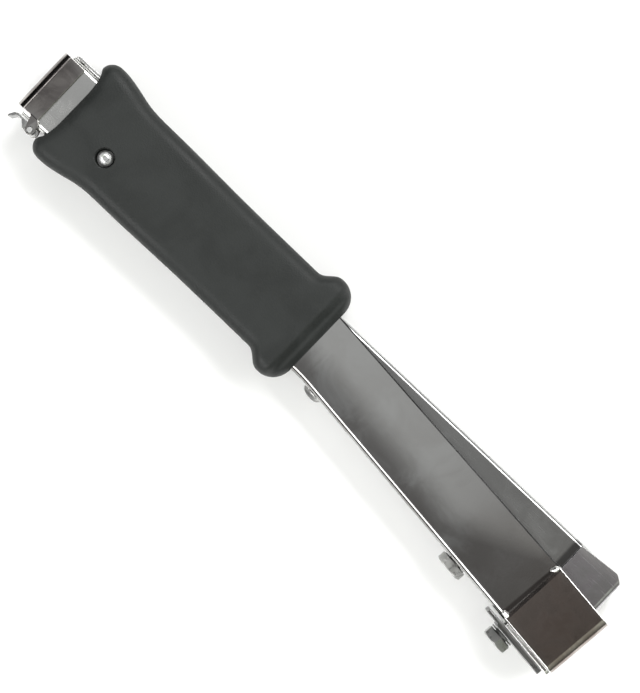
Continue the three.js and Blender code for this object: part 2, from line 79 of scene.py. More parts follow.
def studio():
    scene = bpy.context.scene
    scene.view_settings.view_transform = "Standard"

    bench = bpy.data.meshes.new("bench_sheet")
    reach, below_tool = 1.6, 0.0004
    bench.from_pydata(
        [(-reach, -reach, 0), (reach, -reach, 0), (reach, reach, 0), (-reach, reach, 0)],
        [], [(0, 1, 2, 3)],
    )
    sheet = bpy.data.objects.new("bench_sheet", bench)
    sheet.location.z = -below_tool
    scene.collection.objects.link(sheet)
    paper = bpy.data.materials.new("bench_paper")
    paper.use_nodes = True
    shader = paper.node_tree.nodes["Principled BSDF"]
    shader.inputs["Base Color"].default_value = (0.93, 0.93, 0.925, 1)
    shader.inputs["Roughness"].default_value = 0.9
    bench.materials.append(paper)

    world = bpy.data.worlds.new("studio")
    scene.world = world
    world.use_nodes = True
    tree = world.node_tree
    direction = tree.nodes.new("ShaderNodeTexCoord")
    split = tree.nodes.new("ShaderNodeSeparateXYZ")
    tree.links.new(direction.outputs["Generated"], split.inputs[0])
    height = tree.nodes.new("ShaderNodeValToRGB")
    stops = height.color_ramp.elements
    stops[0].position, stops[0].color = 0.0, (0.05, 0.05, 0.05, 1)
    stops[1].position, stops[1].color = 1.0, (0.41, 0.415, 0.415, 1)
    for place, colour in ((0.35, (0.14, 0.14, 0.14, 1)), (0.9, (0.35, 0.35, 0.35, 1))):
        stops.new(place).color = colour
    tree.links.new(split.outputs["Z"], height.inputs["Fac"])
    # Both ends of the room are dark, and the end that the head points to is brown.
    end = tree.nodes.new("ShaderNodeMapRange")
    end.inputs["From Min"].default_value = -1.0
    tree.links.new(split.outputs["X"], end.inputs["Value"])
    ends = tree.nodes.new("ShaderNodeValToRGB")
    stops = ends.color_ramp.elements
    stops[0].position, stops[0].color = 0.36, (0.03, 0.03, 0.03, 1)
    stops[1].position, stops[1].color = 0.68, (0.95, 1.0, 0.88, 1)
    for place, colour in (
        (0.42, (0.5, 0.5, 0.5, 1)),
        (0.538, (0.5, 0.5, 0.5, 1)),
        (0.549, (0.075, 0.055, 0.045, 1)),
        (0.60, (0.09, 0.067, 0.055, 1)),
    ):
        stops.new(place).color = colour
    tree.links.new(end.outputs["Result"], ends.inputs["Fac"])
    room = tree.nodes.new("ShaderNodeMix")
    room.data_type = "RGBA"
    room.blend_type = "MULTIPLY"
    room.inputs["Factor"].default_value = 1.0
    first, second = [socket for socket in room.inputs if socket.type == "RGBA"]
    tree.links.new(height.outputs["Color"], first)
    tree.links.new(ends.outputs["Color"], second)
    lit = [socket for socket in room.outputs if socket.type == "RGBA"][0]
    tree.links.new(lit, tree.nodes["Background"].inputs["Color"])
    tree.nodes["Background"].inputs["Strength"].default_value = 2.0

    for name, place, size, power in (
        ("long_box_key", (0.05, 0.8, 0.95), (1.5, 0.6), 21.0),
        ("long_box_fill", (0.0, -0.85, 0.9), (1.5, 0.6), 17.0),
        ("butt_strip", (-0.62, 0.0, 0.98), (0.9, 0.13), 1.0),
    ):
        lamp = bpy.data.lights.new(name, "AREA")
        lamp.shape = "RECTANGLE"
        lamp.size, lamp.size_y = size
        lamp.energy = power
        holder = bpy.data.objects.new(name, lamp)
        holder.location = place
        aim = Vector((0, 0, 0)) - Vector(place)
        holder.rotation_euler = aim.to_track_quat("-Z", "Y").to_euler()
        scene.collection.objects.link(holder)


def look_down():
    """The camera hangs over the tool, turned so that the butt is up and to the left."""
    distance = 1.25
    seen_height = 0.2841
    turn = radians(43.9)
    aim = TOOL @ Vector((158.3, 0.6, 5))
    data = bpy.data.cameras.new("camera")
    data.sensor_fit = "VERTICAL"
    data.sensor_height = 24
    data.lens = data.sensor_height * distance / seen_height
    data.clip_start = 0.05
    camera = bpy.data.objects.new("camera", data)
    camera.location = aim + Vector((0, 0, distance))
    camera.rotation_euler = (0, 0, turn)
    bpy.context.scene.collection.objects.link(camera)
    bpy.context.scene.camera = camera


studio()
look_down()

# ---------------------------------------------------------------- frame channel
# The backbone: a strip of 1.5 mm steel folded into a channel, kinked in front of the grip
# so that it flares to the head, deburred and nickel plated. It stays in the grip.

WEB_END = Vector((291, -27.8, 0))
HEAD_TILT = radians(-5.95)
HEAD = drawn_from(TOOL @ WEB_END, HEAD_TILT)


def group_of(name, inputs, outputs):
    """An empty shader node group with number sockets, and its input and output nodes."""
    tree = bpy.data.node_groups.new(name, "ShaderNodeTree")
    for label, value in inputs:
        socket = tree.interface.new_socket(label, in_out="INPUT", socket_type="NodeSocketFloat")
        socket.default_value = value
    for label in outputs:
        tree.interface.new_socket(label, in_out="OUTPUT", socket_type="NodeSocketFloat")
    return tree, tree.nodes.new("NodeGroupInput"), tree.nodes.new("NodeGroupOutput")


def add_node(tree, kind, settings=(), **sockets):
    """A shader node with its settings; a socket takes a value or another node's output."""
    node = tree.nodes.new(kind)
    for key, value in dict(settings).items():
        setattr(node, key, value)
    for key, value in sockets.items():
        name = key.replace("_", " ")
        socket = node.inputs[int(key[1:])] if key[1:].isdigit() else node.inputs[name]
        if isinstance(value, bpy.types.NodeSocket):
            tree.links.new(value, socket)
        else:
            socket.default_value = value
    return node


def stretch(tree, value, low, high, to_low=0.0, to_high=1.0):
    """value, spread from low..high to to_low..to_high and held there."""
    node = add_node(tree, "ShaderNodeMapRange", {"clamp": True, "interpolation_type": "SMOOTHSTEP"})
    tree.links.new(value, node.inputs["Value"])
    for key, number in (
        ("From Min", low), ("From Max", high), ("To Min", to_low), ("To Max", to_high),
    ):
        node.inputs[key].default_value = number
    return node.outputs["Result"]


def make_clouding():
    """Soft clouds in a plated or moulded surface, and the slow ripple of rolled sheet."""
    tree, given, result = group_of(
        "surface_clouding", [("Scale", 30.0)], ["Clouds", "Ripple", "Specks"],
    )
    where = add_node(tree, "ShaderNodeTexCoord").outputs["Object"]
    broad = add_node(
        tree, "ShaderNodeTexNoise", Vector=where, Scale=given.outputs["Scale"],
        Detail=4.0, Roughness=0.62, Distortion=0.6,
    )
    slower = add_node(
        tree, "ShaderNodeMath", {"operation": "MULTIPLY"}, _0=given.outputs["Scale"], _1=0.45,
    )
    ripple = add_node(
        tree, "ShaderNodeTexNoise", Vector=where, Scale=slower.outputs[0], Detail=1.0,
    )
    many = add_node(
        tree, "ShaderNodeMath", {"operation": "MULTIPLY"}, _0=given.outputs["Scale"], _1=34.0,
    )
    specks = add_node(
        tree, "ShaderNodeTexNoise", Vector=where, Scale=many.outputs[0], Detail=2.0,
    )
    tree.links.new(stretch(tree, broad.outputs["Fac"], 0.34, 0.68), result.inputs["Clouds"])
    tree.links.new(ripple.outputs["Fac"], result.inputs["Ripple"])
    tree.links.new(specks.outputs["Fac"], result.inputs["Specks"])
    return tree


def make_scuffs_and_edge_light():
    """Hairline scratches in two directions, and a mask of edges and corners for rubbed plating and
    a painted highlight.
    """
    tree, given, result = group_of(
        "scuffs_and_edge_light", [("Fineness", 60.0), ("Rub", 1.0)], ["Scratches", "Edges"],
    )
    where = add_node(tree, "ShaderNodeTexCoord").outputs["Object"]
    lines = []
    for turn, seed in ((radians(8), 0.0), (radians(-62), 5.0)):
        spun = add_node(
            tree, "ShaderNodeMapping", Vector=where, Rotation=(0, 0, turn),
            Location=(seed, 0, 0), Scale=(1, 34, 18),
        )
        streak = add_node(
            tree, "ShaderNodeTexNoise", Vector=spun.outputs[0], Scale=given.outputs["Fineness"],
            Detail=3.0, Roughness=0.7,
        )
        lines.append(stretch(tree, streak.outputs["Fac"], 0.62, 0.8))
    either = add_node(tree, "ShaderNodeMath", {"operation": "MAXIMUM"}, _0=lines[0], _1=lines[1])
    sharp = add_node(tree, "ShaderNodeNewGeometry").outputs["Pointiness"]
    edge_wear_and_light = stretch(tree, sharp, 0.515, 0.58)
    edge_rub_and_light = add_node(
        tree, "ShaderNodeMath", {"operation": "MULTIPLY"}, _0=edge_wear_and_light, _1=given.outputs["Rub"],
    )
    tree.links.new(either.outputs[0], result.inputs["Scratches"])
    tree.links.new(edge_rub_and_light.outputs[0], result.inputs["Edges"])
    return tree


surface_clouding = make_clouding()
scuffs_and_edge_light = make_scuffs_and_edge_light()


def mixed(tree, share, first, second):
    """Colour first where share is 0, and second where it is 1."""
    node = add_node(tree, "ShaderNodeMix", {"data_type": "RGBA"})
    tree.links.new(share, node.inputs["Factor"])
    for socket, colour in (("A", first), ("B", second)):
        place = [s for s in node.inputs if s.name == socket and s.type == "RGBA"][0]
        if isinstance(colour, bpy.types.NodeSocket):
            tree.links.new(colour, place)
        else:
            place.default_value = (*colour, 1)
    return [s for s in node.outputs if s.type == "RGBA"][0]


def metal(name, light, dark, smooth, rough, cloud=26.0, ripple=0.5, grain=0.04, rub=0.8):
    """A metal whose colour and polish drift between two values, scuffed, its edges and corners
    lightened: rubbed plating and painted highlight.
    """
    # Edges and corners mix towards this pale colour: rubbed plating, and a painted highlight on
    # bends.
    rub_and_highlight_colour = (0.82, 0.82, 0.80)
    score_dulls = 0.08
    material = bpy.data.materials.new(name)
    material.use_nodes = True
    tree = material.node_tree
    shader = tree.nodes["Principled BSDF"]
    shader.inputs["Metallic"].default_value = 1.0
    clouds = add_node(tree, "ShaderNodeGroup", {"node_tree": surface_clouding}, Scale=cloud)
    scuffs_and_light = add_node(tree, "ShaderNodeGroup", {"node_tree": scuffs_and_edge_light}, Rub=rub)
    base = mixed(tree, clouds.outputs["Clouds"], dark, light)
    edge_wear_and_light = mixed(tree, scuffs_and_light.outputs["Edges"], base, rub_and_highlight_colour)
    tree.links.new(edge_wear_and_light, shader.inputs["Base Color"])
    polish = stretch(tree, clouds.outputs["Clouds"], 0, 1, rough, smooth)
    scored = add_node(
        tree, "ShaderNodeMath", {"operation": "MULTIPLY"}, _0=scuffs_and_light.outputs["Scratches"],
        _1=score_dulls,
    )
    total = add_node(tree, "ShaderNodeMath", {"operation": "ADD"}, _0=polish, _1=scored.outputs[0])
    tree.links.new(total.outputs[0], shader.inputs["Roughness"])
    waves = add_node(tree, "ShaderNodeBump", Strength=ripple, Distance=0.0006)
    tree.links.new(clouds.outputs["Ripple"], waves.inputs["Height"])
    fine = add_node(tree, "ShaderNodeBump", Strength=grain, Distance=0.0001)
    tree.links.new(clouds.outputs["Specks"], fine.inputs["Height"])
    tree.links.new(waves.outputs["Normal"], fine.inputs["Normal"])
    cut = add_node(tree, "ShaderNodeBump", {"invert": True}, Strength=0.04, Distance=0.00005)
    tree.links.new(scuffs_and_light.outputs["Scratches"], cut.inputs["Height"])
    tree.links.new(fine.outputs["Normal"], cut.inputs["Normal"])
    tree.links.new(cut.outputs["Normal"], shader.inputs["Normal"])
    return material


# Bright nickel for plates. On the head cover's bevels it is a painted highlight.
bright_plate = metal(
    "nickel_and_edge_highlight", (0.80, 0.80, 0.79), (0.62, 0.62, 0.61), 0.18, 0.3, cloud=40.0,
)


def paint_shade_before_step(material, at, corner, width, colour):
    """Painted shade: a darker band in front of a step in the sheet, at a distance along a part."""
    tree = material.node_tree
    shader = tree.nodes["Principled BSDF"]
    where = add_node(tree, "ShaderNodeTexCoord").outputs["Object"]
    along = (at.to_3x3() @ Vector((1, 0, 0))).normalized()
    reach = add_node(tree, "ShaderNodeVectorMath", {"operation": "DOT_PRODUCT"}, _0=where, _1=along)
    step = (at @ Vector((corner, 0, 0))).dot(along)
    edge = stretch(tree, reach.outputs["Value"], step - width * MM, step - 0.6 * width * MM)
    stop = stretch(tree, reach.outputs["Value"], step - 0.1 * width * MM, step, 1.0, 0.0)
    both = add_node(tree, "ShaderNodeMath", {"operation": "MULTIPLY"}, _0=edge, _1=stop)
    base = shader.inputs["Base Color"].links[0].from_socket
    tree.links.new(mixed(tree, both.outputs[0], base, colour), shader.inputs["Base Color"])


# Near-black metal for the frame's leg ends towards the magazine: a painted shadow line.
painted_shadow_edge = metal(
    "painted_shadow_edge", (0.035, 0.035, 0.035), (0.015, 0.015, 0.015), 0.4, 0.5, rub=0,
)
frame_plate = metal(
    "frame_nickel", (0.37, 0.37, 0.365), (0.25, 0.243, 0.237), 0.11, 0.16, cloud=55.0,
    ripple=0.12,
)
# Painted shade on the frame, in front of the head cover's rear edge.
paint_shade_before_step(frame_plate, HEAD, -2.4, 2.4, (0.16, 0.15, 0.145))


def arc(across, along, radius, start, end, steps=8):
    """Points on an arc, in degrees from the first direction towards the second."""
    turns = [radians(start + (end - start) * k / steps) for k in range(steps + 1)]
    return [(across + radius * cos(t), along + radius * sin(t)) for t in turns]


def fold_section(half, leg, sheet, bend, ease=0.3, slope=None):
    """The section of a folded channel: web across at 0, legs up to leg, eased leg ends.
    With slope, the outer side falls away towards the ends: (how long, how deep)."""
    inner = bend - sheet
    long, deep = slope or (0, 0)
    fall = [(half, leg - ease - long)] if slope else []
    return (
        arc(-half + deep + ease, leg - ease, ease, 90, 180, 3)
        + [(-x, y) for x, y in fall]
        + arc(-half + bend, bend, bend, 180, 270)
        + arc(half - bend, bend, bend, 270, 360)
        + fall
        + arc(half - deep - ease, leg - ease, ease, 0, 90, 3)
        + arc(half - sheet + ease, leg - ease, ease, 90, 180, 3)
        + arc(half - bend, bend, inner, 360, 270)
        + arc(-half + bend, bend, inner, 270, 180)
        + arc(-half + sheet - ease, leg - ease, ease, 0, 90, 3)
    )


def skin(rings, joined=False):
    """Vertices and faces of a surface through rings of equal length, with closed ends or,
    with joined, running back into its first ring."""
    count = len(rings[0])
    faces = []
    last = len(rings) if joined else len(rings) - 1
    for i in range(last):
        j = (i + 1) % len(rings)
        for k in range(count):
            n = (k + 1) % count
            faces.append((i * count + k, i * count + n, j * count + n, j * count + k))
    if not joined:
        faces.append(tuple(reversed(range(count))))
        faces.append(tuple((len(rings) - 1) * count + k for k in range(count)))
    return [point for ring in rings for point in ring], faces


def piece(name, shape, at, material, body, stands_for=(), ease=0.0, angle=32, smooth=0,
          edge=None):
    """A visible piece made from vertices and faces drawn in millimetres. With ease its edges
    are rounded, in the edge material if one is given, and with smooth it is subdivided."""
    points, faces = shape
    mesh = bpy.data.meshes.new(name)
    mesh.from_pydata([at @ Vector(point) for point in points], [], faces)
    work = bmesh.new()
    work.from_mesh(mesh)
    bmesh.ops.remove_doubles(work, verts=work.verts, dist=1e-6)
    bmesh.ops.recalc_face_normals(work, faces=work.faces)
    work.to_mesh(mesh)
    work.free()
    thing = bpy.data.objects.new(name, mesh)
    bpy.context.scene.collection.objects.link(thing)
    if smooth:
        rounding = thing.modifiers.new("rounding", "SUBSURF")
        rounding.levels = rounding.render_levels = smooth
    if ease:
        eased = thing.modifiers.new("eased_edges", "BEVEL")
        eased.width = ease * MM
        eased.segments = 3
        eased.limit_method = "ANGLE"
        eased.angle_limit = radians(50)
        eased.material = 1 if edge else -1
    thing.data.materials.append(material)
    if edge:
        thing.data.materials.append(edge)
    settle(thing, angle)
    if body:
        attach(thing, body)
    if stands_for:
        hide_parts(*stands_for)
    return thing


def settle(thing, angle=32):
    """Makes a piece's modifiers part of its mesh, and shades it smooth up to an angle."""
    for old in [m for m in thing.modifiers if m.type == "WEIGHTED_NORMAL"]:
        thing.modifiers.remove(old)
    view = bpy.context.evaluated_depsgraph_get()
    made = bpy.data.meshes.new_from_object(thing.evaluated_get(view))
    made.name = thing.name
    thing.modifiers.clear()
    old = thing.data
    thing.data = made
    bpy.data.meshes.remove(old)
    made.polygons.foreach_set("use_smooth", [True] * len(made.polygons))
    made.set_sharp_from_angle(angle=radians(angle))
    flat_sides = thing.modifiers.new("flat_sides", "WEIGHTED_NORMAL")
    flat_sides.keep_sharp = True
    return thing


def cut(thing, shapes, at, angle=32, keep=False):
    """Cuts shapes out of a piece, or with keep, cuts away what lies outside them."""
    for points, faces in shapes:
        mesh = bpy.data.meshes.new("cutter")
        mesh.from_pydata([at @ Vector(point) for point in points], [], faces)
        work = bmesh.new()
        work.from_mesh(mesh)
        bmesh.ops.recalc_face_normals(work, faces=work.faces)
        work.to_mesh(mesh)
        work.free()
        cutter = bpy.data.objects.new("cutter", mesh)
        bpy.context.scene.collection.objects.link(cutter)
        taken = thing.modifiers.new("cut", "BOOLEAN")
        taken.object = cutter
        taken.operation = "INTERSECT" if keep else "DIFFERENCE"
        taken.solver = "EXACT"
        settle(thing, angle)
        bpy.data.objects.remove(cutter)
    return thing


def folded(web, mouth, half, sheet, bend, ease=0.3, slope=None):
    """A folded channel along a line of web points, with its legs' ends on a mouth line."""
    rings = []
    for (wx, wy), (mx, my) in zip(web, mouth):
        out = Vector((mx - wx, my - wy))
        leg = out.length
        out.normalize()
        rings.append([
            (wx + out.x * along, wy + out.y * along, across)
            for across, along in fold_section(half, leg, sheet, bend, ease, slope)
        ])
    return skin(rings)


def lathe(profile, steps=32, axis="z", at=(0, 0)):
    """A piece turned from (radius, distance along its axis) points, about Z, Y or X."""
    rings = []
    for radius, along in profile:
        ring = []
        for k in range(steps):
            turn = 2 * pi * k / steps
            a, b = radius * cos(turn), radius * sin(turn)
            ring.append({
                "z": (at[0] + a, at[1] + b, along),
                "y": (at[0] + a, along, b),
                "x": (along, at[1] + a, b),
            }[axis])
        rings.append(ring)
    return skin(rings)


WEB_Y = -14.35
KINK_X = 162
MOUTH_Y = 15
MOUTH_END = (291.8, 3.55)
GRIP_FRONT = 156.2
FRAME_REAR = 26
FRAME_HALF = 9
PIN_HOLE = 2.8
STOP_AT = -31.2
LEAF_RIVET_AT = -122.2


def web_at(x):
    """The outer face of the web: level in the grip, eased over the kink, then sloping."""
    slope = (WEB_END.y - WEB_Y) / (WEB_END.x - KINK_X)
    reach = 4
    past = x - KINK_X
    if abs(past) < reach:
        return WEB_Y + slope * (past + reach) ** 2 / (4 * reach)
    return WEB_Y + slope * max(past, 0)


def mouth_at(x):
    """The ends of the legs: level in the grip, then closing in towards the head."""
    slope = (MOUTH_END[1] - MOUTH_Y) / (MOUTH_END[0] - GRIP_FRONT)
    return MOUTH_Y + slope * max(x - GRIP_FRONT, 0)


def frame_channel():
    stations = [FRAME_REAR, 90, GRIP_FRONT] + [158 + k for k in range(9)] + [200, 245, 290]
    web = [(x, web_at(x)) for x in stations]
    mouth = [(x, mouth_at(x)) for x in stations[:-1]] + [MOUTH_END]
    channel = piece(
        "frame_channel_sheet", folded(web, mouth, FRAME_HALF, 1.5, 2.4, 0.6), TOOL, frame_plate,
        "frame", ["frame_channel"], ease=0.25,
    )
    # The leg ends that face the magazine take the near-black material, a painted shadow line.
    channel.data.materials.append(painted_shadow_edge)
    for face in channel.data.polygons:
        spot = TOOL.inverted() @ face.center
        at_leg_end = mouth_at(spot.x) - spot.y < 0.8
        if face.normal.y > 0.2 and at_leg_end:
            face.material_index = 1
    cut(channel, [lathe([(PIN_HOLE, -20), (PIN_HOLE, 20)], 32, "z", PIVOT_FROM_BUTT[:2])], TOOL)
    cut(channel, [
        lathe([(4.2, -6), (4.2, 6)], 32, "y", (STOP_AT, 0)),
        lathe([(2.3, -6), (2.3, 6)], 24, "y", (LEAF_RIVET_AT, 0)),
    ], HEAD)


frame_channel()

# ---------------------------------------------------------------- grip
# One moulding of soft black rubber, pulled over the frame: straight sides with rounded
# edges, a flared butt, and a collar in front that steps down to its rim. A fine mould
# seam runs round it.


def rubber(name, colour, pale):
    """Black rubber with a pebbled skin, clouded and scuffed, lighter at its edges (rubbed, and
    painted highlight), and the seam of its mould.
    """
    material = bpy.data.materials.new(name)
    material.use_nodes = True
    tree = material.node_tree
    shader = tree.nodes["Principled BSDF"]
    clouds = add_node(tree, "ShaderNodeGroup", {"node_tree": surface_clouding}, Scale=38.0)
    scuffs_and_light = add_node(
        tree, "ShaderNodeGroup", {"node_tree": scuffs_and_edge_light}, Fineness=45.0, Rub=0.55,
    )
    base = mixed(tree, clouds.outputs["Clouds"], colour, pale)
    # Edges mix towards a paler rubber: rubbed skin, and a painted highlight.
    edge_wear_and_light = mixed(tree, scuffs_and_light.outputs["Edges"], base, tuple(1.5 * c for c in pale))
    tree.links.new(edge_wear_and_light, shader.inputs["Base Color"])
    tree.links.new(
        stretch(tree, clouds.outputs["Clouds"], 0, 1, 0.5, 0.62), shader.inputs["Roughness"],
    )
    where = add_node(tree, "ShaderNodeTexCoord").outputs["Object"]
    pebbles = add_node(tree, "ShaderNodeTexVoronoi", Vector=where, Scale=1500.0)
    texture = add_node(tree, "ShaderNodeBump", Strength=0.32, Distance=0.00025)
    tree.links.new(pebbles.outputs["Distance"], texture.inputs["Height"])
    # The halves of the mould meet in the middle of the grip's thickness.
    split = add_node(tree, "ShaderNodeSeparateXYZ", _0=where)
    off = add_node(
        tree, "ShaderNodeMath", {"operation": "SUBTRACT"}, _0=split.outputs["Z"], _1=pivot.z,
    )
    apart = add_node(tree, "ShaderNodeMath", {"operation": "ABSOLUTE"}, _0=off.outputs[0])
    ridge = stretch(tree, apart.outputs[0], 0.00012, 0.0004, 1.0, 0.0)
    seam = add_node(tree, "ShaderNodeBump", Strength=0.9, Distance=0.0003)
    tree.links.new(ridge, seam.inputs["Height"])
    tree.links.new(texture.outputs["Normal"], seam.inputs["Normal"])
    dents = add_node(tree, "ShaderNodeBump", Strength=0.15, Distance=0.0006)
    tree.links.new(clouds.outputs["Ripple"], dents.inputs["Height"])
    tree.links.new(seam.outputs["Normal"], dents.inputs["Normal"])
    tree.links.new(dents.outputs["Normal"], shader.inputs["Normal"])
    shader.inputs["Specular IOR Level"].default_value = 0.3
    return material


grip_rubber = rubber("grip_rubber", (0.0108, 0.0124, 0.0116), (0.0152, 0.0171, 0.0162))


def rise(x, low, high):
    """0 up to low, 1 from high, and a smooth step between them."""
    t = min(max((x - low) / (high - low), 0), 1)
    return t * t * (3 - 2 * t)


def grip_height(x):
    """Half the grip's height: a waist that thins forward, the butt flare and the collar."""
    waist = 20.6 + 0.8 * (1 - rise(x, 60, 100))
    return waist + 4.0 * (1 - rise(x, 22, 46)) + 5.0 * rise(x, 137.2, 145.6)


def grip_thickness(x):
    """Half the grip's thickness, with the step down to the rim at the front."""
    return 15 - 3.2 * rise(x, 148.6, 152.4)


def rounded_ring(x_edge, x_side, middle, high, thick, radius):
    """A ring round X whose flats and corners have a fixed number of points."""
    ring = []
    corners = ((1, 1), (-1, 1), (-1, -1), (1, -1))
    flat_high, flat_thick = high - radius, thick - radius
    for k, (y_sign, z_sign) in enumerate(corners):
        start = 90 * k
        y_next, z_next = corners[(k + 1) % 4]
        ring += arc(y_sign * flat_high, z_sign * flat_thick, radius, start, start + 90, 6)
        end = ring[-1]
        first = arc(y_next * flat_high, z_next * flat_thick, radius, start + 90, start + 91, 1)[0]
        parts = 6 if start in (0, 180) else 4
        for n in range(1, parts):
            share = n / parts
            ring.append(tuple(a + (b - a) * share for a, b in zip(end, first)))
    points = []
    for y, z in ring:
        lean = rise(abs(y), 14.5, 20.5)
        points.append((x_side + (x_edge - x_side) * lean, middle + y, z))
    return points


def grip():
    """Rings from the rounded butt to the rim, and back through the bore to the butt."""
    middle = 1.23
    rings = []
    for turn in (5, 20, 35, 50, 65, 80):
        t = radians(turn)
        edge = 21.6 - 6.4 * cos(t)
        side = 24.4 - 6.0 * cos(t)
        high = 18.9 + 6.5 * sin(t)
        rings.append(rounded_ring(edge, side, middle, high, 10.2 + 4.8 * sin(t), 3.0 + 3 * sin(t)))
    for x in (25, 28, 32, 36, 40, 45, 52, 62, 75, 90, 105, 120, 130, 135, 137, 138.4,
              139.6, 140.8, 142, 143.2, 144.4, 145.8):
        rings.append(rounded_ring(x, x, middle, grip_height(x), grip_thickness(x), 6.2))
    for turn in (3, 10, 17, 24, 31, 38, 46, 55, 64, 73, 82):
        t = radians(turn)
        x = 147 + 9.1 * sin(t)
        drop = rise(x, 153.2, 156.2) * 2.2
        high = grip_height(x) - 9.3 * (1 - cos(t))
        rings.append(rounded_ring(x, x, middle, high, grip_thickness(x) - drop, 6.0))
    bore_middle, bore_high, bore_thick = 0.825, 15.475, 9.3
    for x, grow in ((GRIP_FRONT, 0.5), (155.6, 0.0), (154, 0.0), (90, 0.0), (27, 0.0), (26, 0.0)):
        rings.append(rounded_ring(x, x, bore_middle, bore_high + grow, bore_thick + grow, 1.5))
    for edge, side in ((25.5, 25.5), (24.5, 24.5), (19.0, 20.5), (16.6, 19.2)):
        rings.append(rounded_ring(edge, side, 1.7, 18.7, 9.4, 1.5))
    sleeve = piece(
        "grip_sleeve", skin(rings, joined=True), TOOL, grip_rubber, "frame",
        ["grip"], angle=60, smooth=1,
    )
    # The hole over the pivot pin narrows at the frame, so that the pin's head fills it.
    well = [(4.6, -16.5), (4.5, -15.1), (4.3, -14.75), (4.15, -14.4), (3.9, -12.0), (3.9, 9.6),
            (3.55, 10.2), (4.15, 12.6), (4.15, 14.4), (4.3, 14.75), (4.5, 15.1), (4.6, 16.5)]
    cut(sleeve, [lathe(well, 48, "z", PIVOT_FROM_BUTT[:2])], TOOL, 50)


grip()

# ---------------------------------------------------------------- head cover
# A 2 mm plate bent round the front of the head in a U, its rear edges bevelled and tacked
# to the frame with small welds, then plated and polished.

cover_plate = metal(
    "cover_nickel", (0.44, 0.40, 0.375), (0.27, 0.225, 0.205), 0.14, 0.2, cloud=75.0,
    ripple=0.15,
)
COVER_HALF = 11.5
COVER_REAR = -1.9
COVER_LEAN = 1.1


def head_cover():
    low, tall, front, steps = 0.6, 30.6, 28.3, 8
    web = [(front, low + tall * k / steps) for k in range(steps + 1)]
    mouth = [(COVER_REAR - COVER_LEAN * k / steps, low + tall * k / steps)
             for k in range(steps + 1)]
    bevel = (1.1, 0.3)
    # The bevels take the bright nickel as their edge material: a painted highlight along the
    # cover's edges.
    piece(
        "head_cover_plate", folded(web, mouth, COVER_HALF, 2, 4, 0.35, bevel), HEAD,
        cover_plate, "frame", ["head_cover"], ease=0.3, edge=bright_plate,
        angle=13,
    )


def lump(length, width, height, phase):
    """A weld bead: a low mound with a few waves of freezing along it."""
    rings = []
    tip = 0.001
    for k in range(13):
        t = pi * k / 12
        swell = 1 + 0.12 * sin(5 * t + phase)
        rings.append([
            (-length / 2 * cos(t), width / 2 * sin(t) * swell * cos(a) + tip * cos(a),
             height * sin(t) ** 0.7 * swell * sin(a) + tip * sin(a))
            for a in (2 * pi * n / 16 for n in range(16))
        ])
    return skin(rings)


def weld_beads():
    bright = metal("weld_nickel", (0.9, 0.9, 0.88), (0.75, 0.75, 0.73), 0.2, 0.35, cloud=120.0)
    # Along the rear edge: distance from the web, how far it turns, its length.
    beads = ((29.4, 62, 4.6), (1.9, 4, 4.4))
    for side in (1, -1):
        for number, (up, turn, length) in enumerate(beads, 1):
            back = COVER_REAR - COVER_LEAN * up / 31
            spot = HEAD @ Matrix.Translation((back - 0.2, up, side * 9.9)) @ Matrix.Rotation(
                radians(turn), 4, "Z")
            name = f"weld_bead_{'upper' if side > 0 else 'under'}_{number}"
            piece(name, lump(length, 2.6, 1.75, turn), spot, bright, "frame",
                  angle=60)


head_cover()
weld_beads()

# ---------------------------------------------------------------- weight, blade and dowel
# The head is filled by a milled steel weight. The hardened blade that drives the staple
# sits in a slot of it and is held by a dowel.

milled_steel = metal(
    "milled_steel", (0.52, 0.52, 0.53), (0.40, 0.40, 0.42), 0.3, 0.42, cloud=60.0, ripple=0.1,
    grain=0.12,
)
blued_steel = metal(
    "blued_steel", (0.26, 0.28, 0.33), (0.16, 0.17, 0.20), 0.28, 0.4, cloud=45.0, ripple=0.15,
)


def dress(node, material, ease):
    """Gives a CAD node its finish and eased edges."""
    thing = frame["nodes"][node]
    thing.data.materials.clear()
    thing.data.materials.append(material)
    eased = thing.modifiers.new("eased_edges", "BEVEL")
    eased.width = ease * MM
    eased.segments = 2
    eased.limit_method = "ANGLE"
    eased.angle_limit = radians(50)


dress("hammer_block", milled_steel, 0.35)
dress("driver_blade", blued_steel, 0.08)
dress("driver_pin", milled_steel, 0.25)

# ---------------------------------------------------------------- back plate and clamp plate
# Flat plates that close the back of the head. The clamp plate is stepped thinner where it
# runs back over the frame, and its corners are broken.


def rounded_plan(x0, x1, half, corner):
    """A plan outline in X and Z with round corners."""
    return (
        arc(x1 - corner, half - corner, corner, 0, 90, 6)
        + arc(x0 + corner, half - corner, corner, 90, 180, 6)
        + arc(x0 + corner, -half + corner, corner, 180, 270, 6)
        + arc(x1 - corner, -half + corner, corner, 270, 360, 6)
    )


BOLT_AT = 4
BOLT_HOLE = 3.575


def back_plate():
    outline = rounded_plan(-0.5, 27.9, 10.8, 2.5)
    rings = [[(x, y, z) for x, z in outline] for y in (-1.3, 0.3)]
    plate = piece(
        "back_plate_sheet", skin(rings), HEAD, bright_plate, "frame",
        ["back_plate"], ease=0.25,
    )
    cut(plate, [lathe([(BOLT_HOLE, -3.3), (BOLT_HOLE, 2.3)], 32, "y", (BOLT_AT, 0))], HEAD)


clamp_zinc = metal(
    "clamp_zinc", (0.13, 0.13, 0.13), (0.05, 0.05, 0.05), 0.26, 0.4, cloud=90.0, rub=0.3,
)


